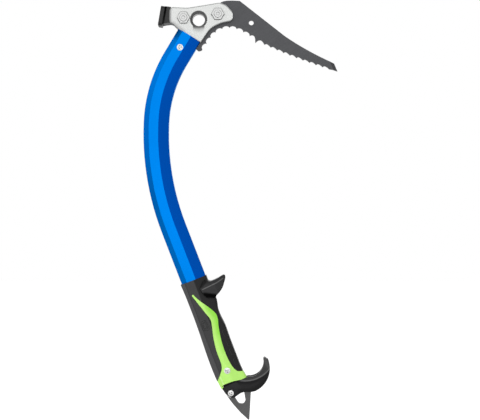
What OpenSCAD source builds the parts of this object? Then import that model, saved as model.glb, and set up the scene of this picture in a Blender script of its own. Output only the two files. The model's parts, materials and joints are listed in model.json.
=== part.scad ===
// Technical ice axe: faceted bent shaft, two-cheek head with pick and hammer,
// moulded handle with trigger, spike and a folding grip rest.
// Row frame: origin in the middle of the clip hole, +X towards the pick, +Z up,
// +Y away from the viewer. Side outlines are drawn as [x, z] and extruded along Y.
// Their zero lies on the tube's axis, and from_clip() moves each piece to the row frame.

/* [Shaft] */
// Front-to-back width of the shaft tube
shaft_w = 30; // [29:0.2:34]
// Side-to-side thickness of the shaft tube
shaft_t = 20; // [19:0.2:23]
// Wall thickness of the shaft tube
shaft_wall = 1.8; // [1.4:0.1:2.2]
// Reach of the flat side band behind the tube's axis
band_back = 8.5; // [7:0.1:9.5]
// Reach of the flat side band in front of the tube's axis
band_front = 3; // [2:0.1:6]
// Width of the flats on the tube's front and back edges
edge_flat = 9; // [7:0.1:11]
// Outer corner radius of the tube's facets
facet_round = 1.2; // [0.6:0.1:2]
// Lean of the tube's top end from upright, in degrees
shaft_tilt = 31; // [24:0.1:36]
// Distance from the clip hole down to the tube's top end
neck = 24; // [22:0.1:27]
// Straight stretch at the tube's top
top_len = 31.6; // [24:0.1:50]
// Radius of the upper bend
bow_r = 161.7; // [120:0.1:220]
// Angle of the upper bend, in degrees
bow_angle = 28.6; // [20:0.1:32]
// Straight stretch between the two bends
mid_len = 1; // [1:0.5:20]
// Radius of the lower bend
lower_r = 311.9; // [220:0.1:400]
// Angle of the lower bend, in degrees
lower_angle = 23.5; // [20:0.1:30]
// Straight stretch from the lower bend to the handle's bottom face
butt_len = 197.5; // [170:0.5:240]
// Width of the tube where it is necked down inside the handle
butt_w = 25.4; // [23:0.2:27]
// Thickness of the tube where it is necked down inside the handle
butt_t = 17.2; // [15:0.2:18]

/* [Head] */
// Radius of the clip hole
clip_r = 7.4; // [6:0.1:8]
// Width of the countersink round the clip hole
clip_rim = 2.9; // [1:0.1:3.2]
// Depth of the scoop below the clip hole, at the hole's wall
scoop_depth = 3.8; // [1:0.1:4.4]
// Reach of the scoop below the clip hole's wall
scoop_reach = 7.4; // [3:0.1:8]
// Thickness of the head over both cheeks
head_t = 14; // [13:0.2:16]
// Thickness of the pick, the web and the spike plates
plate_t = 4; // [3:0.1:5]
// Radius of the web's disc round the clip hole
web_r = 11.2; // [10:0.1:12]
// Reach of the head's tangs into the tube
tang_len = 32; // [26:0.5:44]
// Distance of the tang screw below the tube's top
tang_screw_drop = 18.3; // [13:0.1:22]
// Distance of the tang screw behind the tube's axis
tang_screw_back = 1.2; // [1:0.1:4]

/* [Pick] */
// Pitch of the teeth along the front of the pick
front_pitch = 8.32; // [7.6:0.02:9]
// Number of gaps between the front teeth
front_gaps = 10; // [8:1:12]
// Depth of the front teeth
front_depth = 1.9; // [1:0.1:2.6]
// Radius of the arc on which the front teeth lie
front_arc_r = 650; // [500:10:900]
// Pitch of the scalloped teeth under the head
inner_pitch = 8.77; // [8:0.01:9.4]
// Depth of the scalloped teeth under the head
inner_depth = 2.8; // [2:0.1:3.4]
// Radius of the arc on which the scalloped teeth lie
inner_arc_r = 26.7; // [24:0.1:30]
// Radius of the lanyard hole in the pick
pick_hole_r = 2.95; // [2:0.05:4]

/* [Hammer] */
// Height of the striking face
face_h = 23.6; // [22:0.2:30]
// Width of the striking face, side to side
face_w = 19; // [18:0.5:26]
// Thickness of the striking face's flange
face_t = 4.6; // [3.5:0.1:6]
// Tilt of the striking face from upright, in degrees
face_tilt = 9.9; // [0:0.1:14]

/* [Fasteners] */
// Radius of the two head bolts
bolt_r = 4.4; // [3:0.1:4.4]
// Width across flats of the head bolts' nuts and heads
nut_af = 13; // [11:0.5:14]
// Height of the head bolts' nuts and heads
nut_h = 4.4; // [3.5:0.1:6]
// Depth of the pockets that the nuts and heads sit in
pocket_depth = 2.6; // [1.5:0.1:3.2]
// Shank radius of the handle, tang and grip rest screws
screw_r = 2.5; // [2:0.1:2.8]
// Head radius of the handle, tang and grip rest screws
screw_head_r = 3.7; // [3.4:0.1:4.4]
// Height of those screw heads
screw_head_h = 1.5; // [1:0.1:2]

/* [Handle] */
// Height of the rubber grip above the handle's bottom face
grip_h = 131; // [125:0.5:150]
// Thickness of the grip, side to side
grip_t = 24; // [22:0.2:28]
// Wall of the moulded core round the tube
core_wall = 1.2; // [0.9:0.1:1.4]
// Height of the handle screw above the handle's bottom face
handle_screw_h = 16.5; // [12:0.1:18]
// Distance of the handle screw behind the tube's axis
handle_screw_back = 0.9; // [0:0.1:4]
// Width of the trigger where it meets the grip, side to side
trigger_w = 22; // [18:0.5:23]
// Shank radius of the trigger screw
trigger_screw_r = 1.5; // [1.2:0.1:2]

/* [Spike and grip rest] */
// Reach of the spike below the handle's bottom face
spike_reach = 49.5; // [46:0.5:60]
// Width of the spike's tang inside the handle
spike_tang_w = 14; // [12:0.5:15]
// Reach of the spike's tang into the tube
spike_tang_len = 34; // [26:0.5:44]
// Distance of the grip rest's pivot below the handle's bottom face
pivot_drop = 10.7; // [10:0.1:12]
// Distance of the grip rest's pivot behind the tube's axis
pivot_back = 6.8; // [6:0.1:8]
// Thickness of the grip rest, side to side
rest_t = 15; // [13:0.5:18]
// Outer radius of the pivot bush
bush_r = 4; // [3.6:0.1:4.5]
// Thickness of the two pivot washers
washer_t = 0.5; // [0.4:0.1:0.8]

/* [Hidden] */
$fn = 48;

fit = 0.05;          // clearance between pieces that don't move on each other
run_fit = 0.06;      // radial clearance of the pivot bolt in its bush
swing_gap = 0.3;     // clearance of the grip rest from the handle and the spike
side_gap = 0.12;     // clearance of the grip rest's arms from the washers
far = 200;           // longer than any cut needs to be
lap = 0.3;           // overlap of the shaft's straight stretches with its bends
hair = 0.01;         // how much slimmer the bends are
clip_at = [-0.8, -1.6];       // the clip hole in the drawing of the outlines, whose zero is on the tube's axis
pick_bolt_at = [22, 4.6];
hammer_bolt_at = [-19, 0.2];
pick_hole_at = [62, -4.7];
cheek_t = (head_t - plate_t) / 2;
cheek_y = (head_t + plate_t) / 4;
shoulder_h = grip_h - 5;      // the tube necks down here, under the grip's top edge
shoulder_len = 3;
trigger_drop = 13;            // distance of the trigger's screw below the grip's top edge
trigger_screw_h = grip_h - trigger_drop;
below = -10;                  // lower than any part of the core's collar
end_wall = 2.6;               // the core's floor, which the tube's end stands on
tube_end = end_wall + fit;
plug_top = spike_tang_len + 4;
pivot = [-pivot_back, -pivot_drop];
slot_half = plate_t / 2 + washer_t + side_gap;
lug_r = pivot_drop - swing_gap;
spike_tip = [1.4, -spike_reach];
thread_show = 0.6;            // how far a bolt's end stands out of its nut
pocket_room = 0.3;            // clearance of the head bolts' nuts and heads in their pockets
neck_gap = 0.2;               // gap between the hammer's neck and the cheeks' back edges
web_heel = 4;                 // distance of the web's stem in front of the tube's back edge

// ---- Functions for outlines ----
function unit(v) = v / norm(v);
function xy(p) = [p.x, p.y];
function polar(r, a) = r * [cos(a), sin(a)];
function arc(centre, r, from, to, steps = 12) =
    [for (i = [0:steps]) centre + polar(r, from + (to - from) * i / steps)];
// The arc of radius r from p to q that bulges to the right of the way from p to q
function arc_between(p, q, r, steps = 10) =
    let (half = norm(q - p) / 2,
         dir = unit(q - p),
         centre = (p + q) / 2 + [-dir.y, dir.x] * sqrt(r * r - half * half),
         start = atan2(p.y - centre.y, p.x - centre.x),
         sweep = 2 * asin(half / r))
    arc(centre, r, start, start + sweep, steps);
// One corner of an outline, rounded to its third number and limited by its sides
function corner(before, at, after, steps) =
    let (a = unit(xy(before) - xy(at)),
         b = unit(xy(after) - xy(at)),
         half = acos(max(-1, min(1, a * b))) / 2,
         side = min(norm(xy(before) - xy(at)), norm(xy(after) - xy(at))),
         r = min(at.z, 0.49 * side * tan(half)),
         centre = xy(at) + unit(a + b) * r / sin(half),
         from = xy(at) + a * r / tan(half) - centre,
         to = xy(at) + b * r / tan(half) - centre,
         start = atan2(from.y, from.x),
         sweep = (atan2(to.y, to.x) - start + 540) % 360 - 180)
    r < 0.01 ? [xy(at)] : arc(centre, r, start, start + sweep, steps);
function rounded(pts, steps = 5) =
    let (n = len(pts))
    [for (i = [0:n - 1]) each corner(pts[(i + n - 1) % n], pts[i], pts[(i + 1) % n], steps)];
function with_radius(pts, r) = [for (p = pts) [p.x, p.y, r]];
// A smooth curve through a few points
function curve(pts, steps = 4) =
    let (n = len(pts))
    [for (i = [0:n - 2]) for (j = [0:steps - 1])
        let (t = j / steps, a = pts[max(i - 1, 0)], b = pts[i], c = pts[i + 1], d = pts[min(i + 2, n - 1)])
        (2 * b + (c - a) * t + (2 * a - 5 * b + 4 * c - d) * t * t
            + (3 * b - a - 3 * c + d) * t * t * t) / 2,
     pts[n - 1]];
// A convex outline moved inwards by d, or outwards where d is negative
function inset(pts, d) =
    let (n = len(pts))
    [for (i = [0:n - 1])
        let (a = pts[(i + n - 1) % n], b = pts[i], c = pts[(i + 1) % n],
             u = unit(b - a), v = unit(c - b),
             turn = u.x * v.y - u.y * v.x)
        b + (v - u) * d / turn];
function reversed(pts) = [for (i = [len(pts) - 1:-1:0]) pts[i]];
// A point of the shaft's own frame, [forward, down the shaft], in the row's frame
function on_shaft(forward, down) =
    forward * [cos(shaft_tilt), -sin(shaft_tilt)] - down * [sin(shaft_tilt), cos(shaft_tilt)];

// ---- Outlines ----
// Tube section in [forward, side], anticlockwise
function section(w, t, back, front, edge) =
    [[-w / 2, -edge / 2], [-back, -t / 2], [front, -t / 2], [w / 2, -edge / 2],
     [w / 2, edge / 2], [front, t / 2], [-back, t / 2], [-w / 2, edge / 2]];
shaft_section = section(shaft_w, shaft_t, band_back, band_front, edge_flat);
slim = butt_w / shaft_w;
butt_section = section(butt_w, butt_t, band_back * slim, band_front * slim, edge_flat * slim);
grip_back = 18.2;
grip_front = 18.4;
grip_section = [[-grip_back, -5, 4], [-11, -grip_t / 2, 3], [0, -grip_t / 2, 8], [grip_front, -5.5, 6],
                [grip_front, 5.5, 6], [0, grip_t / 2, 8], [-11, grip_t / 2, 3], [-grip_back, 5, 4]];

module shaft_profile(d) { polygon(rounded(with_radius(inset(shaft_section, d), max(0.3, facet_round - d)), 3)); }
module butt_profile(d) { polygon(rounded(with_radius(inset(butt_section, d), max(0.3, facet_round - d)), 3)); }

// ---- Placing ----
module plate(t, y = 0) { translate([0, y + t / 2, 0]) rotate([90, 0, 0]) linear_extrude(t) children(); }
module across(p, r, length, y = 0) {
    translate([p.x, y, p.y]) rotate([90, 0, 0]) cylinder(r = r, h = length, center = true);
}
module near_side(p, y) { translate([p.x, -y, p.y]) rotate([90, 0, 0]) children(); }
module far_side(p, y) { translate([p.x, y, p.y]) rotate([-90, 0, 0]) children(); }
module from_clip() { translate([-clip_at.x, 0, -clip_at.y]) children(); }
module in_shaft() { rotate([0, shaft_tilt, 0]) children(); }
module after_bend(r, a) { translate([r, 0, 0]) rotate([0, -a, 0]) translate([-r, 0, 0]) children(); }
module bend(r, a) {
    translate([r, 0, 0]) rotate([90, 180, 0]) rotate_extrude(angle = a, $fn = 180)
        translate([r, 0]) mirror([1, 0]) children();
}
module in_lower_bend() {
    in_shaft() translate([0, 0, -neck - top_len]) after_bend(bow_r, bow_angle) translate([0, 0, -mid_len])
        children();
}
module in_butt() {
    in_lower_bend() after_bend(lower_r, lower_angle) translate([0, 0, -butt_len]) children();
}
module tube_wall(d = 0) { difference() { shaft_profile(d); shaft_profile(shaft_wall - d); } }
// The tube down to the shoulder inside the grip. Its straight stretches lap over the bends,
// which are a hair slimmer so that no two faces of the union coincide.
module bent_tube() {
    in_shaft() translate([0, 0, -neck - top_len]) {
        translate([0, 0, -lap]) linear_extrude(top_len + lap) tube_wall();
        bend(bow_r, bow_angle) tube_wall(hair);
    }
    in_lower_bend() {
        translate([0, 0, -lap]) linear_extrude(mid_len + 2 * lap) tube_wall();
        bend(lower_r, lower_angle) tube_wall(hair);
    }
    in_butt() translate([0, 0, shoulder_h]) linear_extrude(butt_len - shoulder_h + lap) tube_wall();
}

// ---- Fasteners ----
module domed_head(r, h) {
    dome = r * 2.2;
    difference() {
        rotate_extrude() polygon([[0, 0], [r, 0], [r, h * 0.55],
            each [for (i = [5:-1:0]) [r * i / 6, h - dome + sqrt(dome * dome - pow(r * i / 6, 2))]]]);
        for (i = [0:2]) translate([r * 0.34 * cos(120 * i + 30), r * 0.34 * sin(120 * i + 30), h * 0.35])
            cylinder(r = r * 0.13, h = h, $fn = 16);
    }
}
module hex(af, h) { cylinder(r = af / sqrt(3), h = h, $fn = 6); }

// ---- Head ----
cheek_outline = [[-35.4, 13.2, 4.5], [-14, 12.1, 30], [24.5, 18.4, 6], [32.6, 14.9, 10], [40, 6.6, 7],
                 [39.5, -2.9, 4.8], [27, -5.3, 14], [13.2, -11.3, 26]];
cheek_overhang = 1.1;         // how far the cheeks' front foot stands proud of the tube
cheek_back = [[-31.3, -6.6, 5], [-35.7, -5.4, 3.5], [-36.3, 2, 20]];
module cheek_2d() {
    polygon(rounded([each cheek_outline,
        [each on_shaft(shaft_w / 2 + cheek_overhang, neck), 0], [each on_shaft(-shaft_w / 2, neck), 0], each cheek_back], 6));
}
// The disc and the stem between the cheeks; grow makes room round it
module web_2d(grow = 0) {
    front_foot = on_shaft(shaft_w / 2 + grow, neck);
    back_foot = on_shaft(-shaft_w / 2 + web_heel - grow, neck);
    translate(clip_at) circle(r = web_r + grow);
    polygon([clip_at + polar(web_r + grow, -15), front_foot, back_foot, clip_at + polar(web_r + grow, 195)]);
}
module tang(y_from, y_to) {
    intersection() {
        in_shaft() translate([0, 0, -neck - tang_len]) linear_extrude(tang_len) shaft_profile(shaft_wall + fit);
        translate([-far / 2, y_from, -far]) cube([far, y_to - y_from, 2 * far]);
    }
}
module head_holes(pockets) {
    across(clip_at, clip_r, far);
    in_shaft() across([-tang_screw_back, -neck - tang_screw_drop], screw_r + fit, far);
    if (pockets) {
        across(pick_bolt_at, bolt_r + fit, far);
        across(hammer_bolt_at, bolt_r + fit, far);
    }
}
module head_cheek(side) {
    scoop_r = clip_r - 0.8;
    scoop_slope = atan(scoop_reach / scoop_depth);
    difference() {
        union() {
            plate(cheek_t, side * cheek_y) cheek_2d();
            if (side < 0) tang(-shaft_t, -plate_t / 2); else tang(plate_t / 2, shaft_t);
        }
        head_holes(true);
        // countersink of the clip hole and the scoop below it
        translate([clip_at.x, 0, clip_at.y]) {
            translate([0, side * head_t / 2, 0]) rotate([side * 90, 0, 0])
                translate([0, 0, -clip_rim]) cylinder(r1 = clip_r + 2 * clip_rim, r2 = clip_r, h = 2 * clip_rim);
            translate([0, side * (head_t / 2 - scoop_depth + scoop_r * sin(scoop_slope)),
                       scoop_r * cos(scoop_slope) - clip_r])
                rotate([-side * (90 + scoop_slope), 0, 0])
                    translate([0, 0, -scoop_r / 2]) cylinder(r = scoop_r, h = far);
        }
        for (p = [pick_bolt_at, hammer_bolt_at])
            translate([p.x, side * (head_t / 2 - pocket_depth), p.y]) rotate([side * -90, 0, 0])
                hex(nut_af + 2 * pocket_room, pocket_depth + 1);
    }
}
module head_cheek_near() { from_clip() color([0.87, 0.88, 0.87]) head_cheek(-1); }
module head_cheek_far() { from_clip() color([0.87, 0.88, 0.87]) head_cheek(1); }
module head_web() {
    from_clip() color([0.72, 0.73, 0.73]) difference() {
        union() {
            plate(plate_t) web_2d();
            tang(-plate_t / 2, plate_t / 2);
        }
        head_holes(false);
    }
}

// ---- Pick ----
// Point at distance s along the scalloped row: straight, round the arc, straight again
inner_start = [3.44, -36.5];
inner_heading = 55.2;
inner_run = 17.9;
inner_sweep = 84.3;
function inner_row(s) =
    let (bend_at = inner_start + polar(inner_run, inner_heading),
         centre = bend_at + polar(inner_arc_r, inner_heading - 90),
         arc_len = inner_arc_r * inner_sweep * PI / 180,
         turned = min(max(s - inner_run, 0), arc_len) / arc_len * inner_sweep)
    s < inner_run ? inner_start + polar(s, inner_heading)
        : centre + polar(inner_arc_r, inner_heading + 90 - turned)
            + polar(max(s - inner_run - arc_len, 0), inner_heading - inner_sweep);
// Point at distance s along the front row, which curves gently upwards
front_start = [77.9, -30.7];
front_heading = -24.4;
function front_row(s) =
    front_start + polar(front_arc_r, front_heading + 90)
        + polar(front_arc_r, front_heading - 90 + s / front_arc_r * 180 / PI);
// Points between two tooth tips: each shape entry is [share of the pitch, share of the depth]
function between(p, q, depth, shape) =
    let (dir = unit(q - p))
    [for (f = shape) p + f[0] * (q - p) + f[1] * depth * [-dir.y, dir.x]];
scallop = [for (f = [0.08, 0.2, 0.35, 0.5, 0.65, 0.8, 0.92]) [f, sqrt(1 - pow(2 * f - 1, 2)) ^ 1.2]];
saw = [[0.1, 0.62], [0.22, 0.95], [0.36, 1], [0.68, 0.62]];
inner_tips = [for (i = [0:8]) inner_row(i * inner_pitch)];
front_tips = [for (i = [0:front_gaps]) front_row(i * front_pitch)];
pick_tip = front_tips[front_gaps] + [9.8, -2.8];
pick_nose = pick_tip + [-4.1, 9.6];
pick_brow = [48.2, 21.5];
pick_knee = [102.2, -20.7];
pick_sag_r = 355;           // the top edge sags on this radius between the knee and the nose
big_tooth = [66.9, -28.7];
pick_outline = [
    [9, 0], [9, 15.4], [21, 17.4],
    each curve([[25.4, 19.6], [28.4, 20.9], [33, 21.7], [40, 21.9], pick_brow], 3),
    each arc_between(pick_knee, pick_nose, pick_sag_r, 8),
    pick_tip,
    front_tips[front_gaps] + [3.9, -0.6],
    for (i = [front_gaps:-1:1]) each [front_tips[i],
        each reversed(between(front_tips[i - 1], front_tips[i], front_depth, saw))],
    front_tips[0],
    each curve([front_tips[0] + [-1.6, 2.6], front_tips[0] + [-4.3, 5.3], [70, -25.9], big_tooth], 3),
    each curve([[66.6, -23], [65.2, -20], [62.8, -19.1]], 3),
    for (i = [8:-1:1]) each [inner_tips[i],
        each reversed(between(inner_tips[i - 1], inner_tips[i], inner_depth, scallop))],
    inner_tips[0],
    each curve([inner_start + [-1.1, -1.2], inner_start + [-3.4, -1.9], inner_start + [-5.4, -1.6],
                on_shaft(shaft_w / 2 - 2, neck + 8.2)], 3),
    on_shaft(shaft_w / 2 - 2, neck)];
module pick() {
    from_clip() color([0.33, 0.335, 0.345]) plate(plate_t) difference() {
        polygon(pick_outline);
        web_2d(fit);
        // the tail lies along the front of the tube
        polygon([on_shaft(shaft_w / 2 + swing_gap, neck - fit), on_shaft(shaft_w / 2 + swing_gap, far),
                 on_shaft(-far, far), on_shaft(-far, neck - fit)]);
        translate(pick_bolt_at) circle(r = bolt_r + fit);
        translate(pick_hole_at) circle(r = pick_hole_r);
    }
}

// ---- Hammer ----
face_at = [-47.3, 3];
module in_face() { translate([face_at.x, 0, face_at.y]) rotate([0, face_tilt, 0]) children(); }
module hammer() {
    neck_front = cheek_back[1].x - 0.5;
    from_clip() color([0.22, 0.22, 0.23]) difference() {
        union() {
            // flange with the striking face
            in_face() rotate([0, 90, 0]) linear_extrude(face_t)
                polygon(rounded([for (p = [[-1, -1], [1, -1], [1, 1], [-1, 1]])
                    [p.x * face_h / 2, p.y * face_w / 2, 3.5]], 5));
            // neck between the flange and the cheeks, with a groove behind the flange
            plate(head_t) difference() {
                polygon(rounded([[-44.5, 12.4, 0], [-42.2, 12.6, 0.8], [-41.2, 14, 0.8], [-34, 13.2, 0],
                                 [-34.4, -5.6, 0], [-40, -6.3, 5], [-45.8, -7.4, 0]], 4));
                translate([-neck_gap, 0]) cheek_2d();
            }
            // tang between the cheeks, stopped by the web
            plate(plate_t) difference() {
                polygon([[neck_front - 1, 12], [-9, 11.2], [-9, -9], [-20, -10.4], [-29, -5.8], [neck_front - 1, -3.4]]);
                web_2d(fit);
            }
        }
        across(hammer_bolt_at, bolt_r + fit, far);
    }
}

// ---- Head bolts: hexagon head on the far side, nut on the near side ----
module head_bolt() {
    bolt_end = head_t / 2 - pocket_depth + nut_h + thread_show;
    difference() {
        union() {
            far_side([0, 0], head_t / 2 - pocket_depth) hex(nut_af, nut_h);
            translate([0, (head_t / 2 - pocket_depth - bolt_end) / 2, 0]) rotate([90, 0, 0])
                cylinder(r = bolt_r, h = bolt_end + head_t / 2 - pocket_depth, center = true);
        }
        // shallow dimple in the bolt's end
        near_side([0, 0], bolt_end - 0.5) cylinder(r = bolt_r * 0.45, h = 1);
    }
}
module head_nut() {
    near_side([0, 0], head_t / 2 - pocket_depth) difference() {
        hex(nut_af, nut_h);
        translate([0, 0, -1]) cylinder(r = bolt_r + fit, h = nut_h + 2);
    }
}
module pick_bolt() { from_clip() color([0.8, 0.8, 0.8]) translate([pick_bolt_at.x, 0, pick_bolt_at.y]) head_bolt(); }
module hammer_bolt() { from_clip() color([0.8, 0.8, 0.8]) translate([hammer_bolt_at.x, 0, hammer_bolt_at.y]) head_bolt(); }
module pick_nut() { from_clip() color([0.85, 0.85, 0.85]) translate([pick_bolt_at.x, 0, pick_bolt_at.y]) head_nut(); }
module hammer_nut() { from_clip() color([0.85, 0.85, 0.85]) translate([hammer_bolt_at.x, 0, hammer_bolt_at.y]) head_nut(); }

// ---- Screws with a barrel nut on the far side; half is where their heads seat ----
barrel_wall = 1.2;
barrel_floor = 0.8;           // the barrel's closed end inside its head
barrel_gap = 0.5;             // from the near seat to the barrel's open end
screw_gap = 0.2;              // from the screw's end to the barrel's floor
module through_screw(half) {
    near_side([0, 0], half) domed_head(screw_head_r, screw_head_h);
    translate([0, -half, 0]) rotate([-90, 0, 0])
        cylinder(r = screw_r - barrel_wall, h = 2 * half - barrel_floor - screw_gap);
}
module barrel_nut(half) {
    difference() {
        union() {
            far_side([0, 0], half) domed_head(screw_head_r, screw_head_h);
            translate([0, barrel_gap - half, 0]) rotate([-90, 0, 0]) cylinder(r = screw_r, h = 2 * half - barrel_gap);
        }
        translate([0, -half, 0]) rotate([-90, 0, 0])
            cylinder(r = screw_r - barrel_wall + fit, h = 2 * half - barrel_floor);
    }
}
module at_tang_screw() { in_shaft() translate([-tang_screw_back, 0, -neck - tang_screw_drop]) children(); }
module tang_screw() { from_clip() color([0.85, 0.85, 0.86]) at_tang_screw() through_screw(shaft_t / 2); }
module tang_barrel_nut() { from_clip() color([0.85, 0.85, 0.86]) at_tang_screw() barrel_nut(shaft_t / 2); }

// ---- Shaft ----
module shaft_tube() {
    from_clip() color([0, 0.49, 0.93]) difference() {
        union() {
            bent_tube();
            // shoulder where the tube necks down inside the grip
            in_butt() translate([0, 0, shoulder_h - shoulder_len]) linear_extrude(shoulder_len)
                difference() { shaft_profile(0); butt_profile(shaft_wall); }
            in_butt() translate([0, 0, tube_end]) linear_extrude(shoulder_h - shoulder_len - tube_end)
                difference() { butt_profile(0); butt_profile(shaft_wall); }
        }
        at_tang_screw() across([0, 0], screw_r + fit, far);
        in_butt() {
            across([-handle_screw_back, handle_screw_h], screw_r + fit, far);
            translate([0, 0, trigger_screw_h]) rotate([0, 90, 0])
                cylinder(r = trigger_screw_r + 1 + fit, h = far);
        }
    }
}

// ---- Handle ----
back_edge = [[-16.4, 131], [-15.8, 118], [-15.6, 100], [-15.7, 84], [-16.3, 66], [-17.2, 48], [-17.8, 30],
             [-17.6, 16], [-16.9, 6], [-15.6, -3]];
front_edge = [[16, 131], [16, 116], [17.4, 102], [16.6, 95], [14.9, 88], [14.8, 79], [16, 67], [15.5, 50],
              [15.4, 30], [15.6, 12], [17.1, 4], [17.7, 0]];
stripe_back = [[-9.4, 113.6], [-6.8, 105.3], [-1.7, 89], [1.2, 79], [0.3, 71.6], [-3.5, 55.8], [-5.6, 40],
               [-5.8, 24], [-9.3, 15.7], [-18.4, 5.6]];
stripe_front = [[-7.6, 114.6], [-3.6, 106.3], [4.2, 93.8], [9.4, 84], [9.7, 76], [7, 66], [4.4, 50], [3.6, 34],
                [4.5, 22], [6.2, 14.3], [10, 8.4], [20, 5.4]];
collar_foot = [-11.5, 0];
// The grip's outside, made slimmer by d
module grip_form(d = 0) {
    intersection() {
        translate([0, 0, below]) linear_extrude(grip_h - below)
            polygon([for (p = rounded(grip_section, 4)) p * (1 - 2 * d / grip_t)]);
        plate(grip_t) polygon([each [for (p = curve(back_edge, 3)) p + [d, 0]], collar_foot,
                               each [for (p = curve(reversed(front_edge), 3)) p - [d, 0]]]);
    }
}
// The green land that shows between the rubber pads, and the collar below them; the stripes are drawn as they
// look from the side, and on_side moves them to where they lie on the handle's own side face
land_shrink = 0.9873;
land_lift = [1.04, 2.4];
function on_side(p) = land_shrink * p + land_lift;
module land_2d(grow = 0) {
    polygon([each [for (p = curve(stripe_back, 4)) on_side(p) - [grow, 0]], [-far, below], [far, below],
             each reversed([for (p = curve(stripe_front, 4)) on_side(p) + [grow, 0]])]);
}
// The collar's underside rises towards its sides, outside the grip rest
collar_flat = 8;
collar_rise = 2.5;
module collar_underside() {
    for (side = [-1, 1])
        translate([-far / 2, 0, 0]) rotate([90, 0, 90]) linear_extrude(far)
            polygon([[side * collar_flat, -5], [side * collar_flat, 0], [side * grip_t / 2, collar_rise],
                     [side * grip_t, collar_rise], [side * grip_t, -5]]);
}
// The trigger's side outline round its screw's height: fin, and the saddle that laps the core
trigger_outline = [
    each curve([[14.9, 9.2], [16.2, 6], [18.6, 4.4], [22, 4.1], [28, 4.6], [32.4, 5.5], [35.4, 6]], 3),
    each curve([[36.9, 4.9], [36.4, 1.8], [33.3, -2.8], [29.4, -7.6], [24.2, -11.4], [19.4, -13.6]], 3),
    [18, -15.4], [14.6, -16.1], [11.4, -15.8], [7.8, -11.6], [5, -5.4], [4.1, 0.4], [10, 6.6]];
trigger_middle = [17, -5];
// The same with room round it is the pocket in the grip that the saddle fills
module trigger_2d(room = 0) {
    translate([0, trigger_screw_h]) polygon([for (p = trigger_outline) p + room * unit(p - trigger_middle)]);
}
// Half of the trigger seen from above, as [forward, side]
trigger_half_plan = [[0, grip_t / 2 + 0.5], [14, trigger_w / 2], [22, trigger_w / 2 - 0.8], [32, 6.5], [38, 3]];
core_top = shoulder_h - shoulder_len - fit;
module handle_core() {
    from_clip() color([0.65, 0.87, 0.4]) in_butt() difference() {
        union() {
            linear_extrude(core_top) butt_profile(-core_wall - fit);
            intersection() {
                grip_form(0.25);
                plate(grip_t) land_2d();
            }
        }
        collar_underside();
        translate([0, 0, end_wall]) linear_extrude(far) butt_profile(-fit);
        translate([-handle_screw_back - spike_tang_w / 2 - fit, -plate_t / 2 - fit, -far / 2])
            cube([spike_tang_w + 2 * fit, plate_t + 2 * fit, far]);
        across([-handle_screw_back, handle_screw_h], screw_r + fit, far);
        translate([0, 0, trigger_screw_h]) rotate([0, 90, 0]) cylinder(r = trigger_screw_r + fit, h = far);
    }
}
module grip_rubber() {
    from_clip() color([0.26, 0.26, 0.27]) in_butt() difference() {
        grip_form();
        translate([0, 0, -far / 2]) linear_extrude(core_top + fit + far / 2) butt_profile(-core_wall - 2 * fit);
        translate([0, 0, core_top]) linear_extrude(far) shaft_profile(-fit);
        plate(2 * grip_t) land_2d(fit);
        plate(2 * grip_t) trigger_2d(fit);
    }
}
// The trigger, its screw, and the threaded insert that the screw draws against the tube's wall
trigger_seat = butt_w / 2 + core_wall + 4;
trigger_head_h = 1.6;
trigger_screw_len = 12;
insert_len = 8;
insert_collar_at = shaft_wall + 1.2;
module trigger() {
    from_clip() color([0.2, 0.2, 0.21]) in_butt() difference() {
        intersection() {
            plate(2 * grip_t) trigger_2d();
            linear_extrude(far) polygon([each [for (p = trigger_half_plan) [p.x, -p.y]], each reversed(trigger_half_plan)]);
        }
        linear_extrude(core_top + fit) butt_profile(-core_wall - 2 * fit);
        translate([0, 0, core_top]) linear_extrude(far) shaft_profile(-fit);
        translate([0, 0, trigger_screw_h]) rotate([0, 90, 0]) cylinder(r = trigger_screw_r + fit, h = far);
        translate([trigger_seat, 0, trigger_screw_h]) rotate([0, 90, 0])
            cylinder(r = trigger_screw_r * 2 + fit, h = far);
    }
}
module trigger_screw() {
    from_clip() color([0.5, 0.5, 0.5]) in_butt() translate([trigger_seat, 0, trigger_screw_h]) rotate([0, 90, 0]) {
        cylinder(r = trigger_screw_r * 2, h = trigger_head_h);
        translate([0, 0, -trigger_screw_len]) cylinder(r = trigger_screw_r, h = trigger_screw_len + lap);
    }
}
module trigger_insert() {
    from_clip() color([0.6, 0.55, 0.4]) in_butt() translate([butt_w / 2, 0, trigger_screw_h]) rotate([0, -90, 0]) difference() {
        union() {
            cylinder(r = trigger_screw_r + 1, h = insert_len);
            translate([0, 0, insert_collar_at]) cylinder(r = trigger_screw_r + 1.6, h = insert_len - insert_collar_at);
        }
        translate([0, 0, -1]) cylinder(r = trigger_screw_r + fit, h = insert_len + 2);
    }
}
module butt_plug() {
    from_clip() color([0.3, 0.3, 0.32]) in_butt() difference() {
        translate([0, 0, tube_end]) linear_extrude(plug_top - tube_end) butt_profile(shaft_wall + fit);
        translate([-handle_screw_back - spike_tang_w / 2 - fit, -plate_t / 2 - fit, -1])
            cube([spike_tang_w + 2 * fit, plate_t + 2 * fit, spike_tang_len + 1 + fit]);
        across([-handle_screw_back, handle_screw_h], screw_r + fit, far);
    }
}
module at_handle_screw() { in_butt() translate([-handle_screw_back, 0, handle_screw_h]) children(); }
screw_seat = grip_t / 2 - 0.25;
module handle_screw() { from_clip() color([0.85, 0.85, 0.86]) at_handle_screw() through_screw(screw_seat); }
module handle_barrel_nut() { from_clip() color([0.85, 0.85, 0.86]) at_handle_screw() barrel_nut(screw_seat); }

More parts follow.
